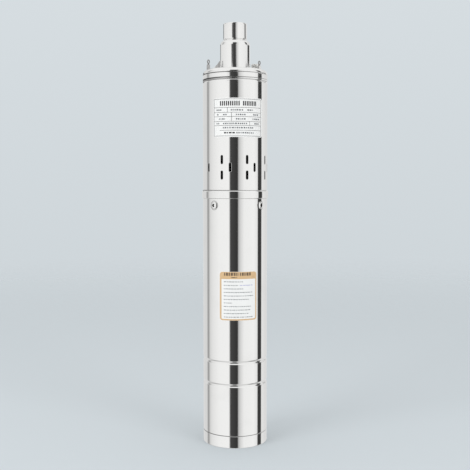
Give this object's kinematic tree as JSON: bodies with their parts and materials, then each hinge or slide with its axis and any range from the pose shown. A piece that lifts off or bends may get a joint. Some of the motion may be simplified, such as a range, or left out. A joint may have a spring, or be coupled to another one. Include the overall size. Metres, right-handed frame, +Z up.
{
  "type": "deep well submersible pump",
  "caption": "Slim upright well pump: threaded outlet on a domed head, slotted intake barrel over a screw pump section, sealed electric motor below",
  "frame": {"origin": "centre of the flat base of the bottom cap", "axes": "+Z up along the shaft, front with the labels faces -Y"},
  "size_m": [0.0944, 0.0944, 0.599],
  "materials": {
    "polished_stainless": "polished stainless steel, near mirror",
    "turned_stainless": "fine turned stainless steel",
    "black_rubber": "moulded nitrile rubber",
    "label_white": "white film label, semi-gloss",
    "label_orange": "white film label with an orange printed frame",
    "seal_ceramic": "ground ceramic seal face"
  },
  "bodies": {
    "root": {"outlet_stub": "polished_stainless", "outlet_head": "polished_stainless", "head_rim": "polished_stainless", "barrel_bead": "polished_stainless", "lifting_eye_left": "turned_stainless", "lifting_eye_right": "turned_stainless", "eye_nut_left": "turned_stainless", "eye_nut_right": "turned_stainless", "cable_gland_body": "polished_stainless", "cable_gland_nut": "polished_stainless", "cable_gland_seal": "black_rubber", "pump_barrel": "polished_stainless", "nameplate": "label_white", "stator_tube": "turned_stainless", "stator_rubber": "black_rubber", "screw_rotor": "turned_stainless", "coupling_rod": "turned_stainless", "shaft_coupling": "turned_stainless", "mechanical_seal": "seal_ceramic", "motor_shaft": "turned_stainless", "motor_head": "turned_stainless", "joint_ring": "polished_stainless", "head_screw_1": "polished_stainless", "head_screw_2": "polished_stainless", "head_screw_3": "polished_stainless", "head_screw_4": "polished_stainless", "motor_housing": "polished_stainless", "rating_label": "label_orange", "bottom_cap": "polished_stainless"}
  },
  "joints": []
}
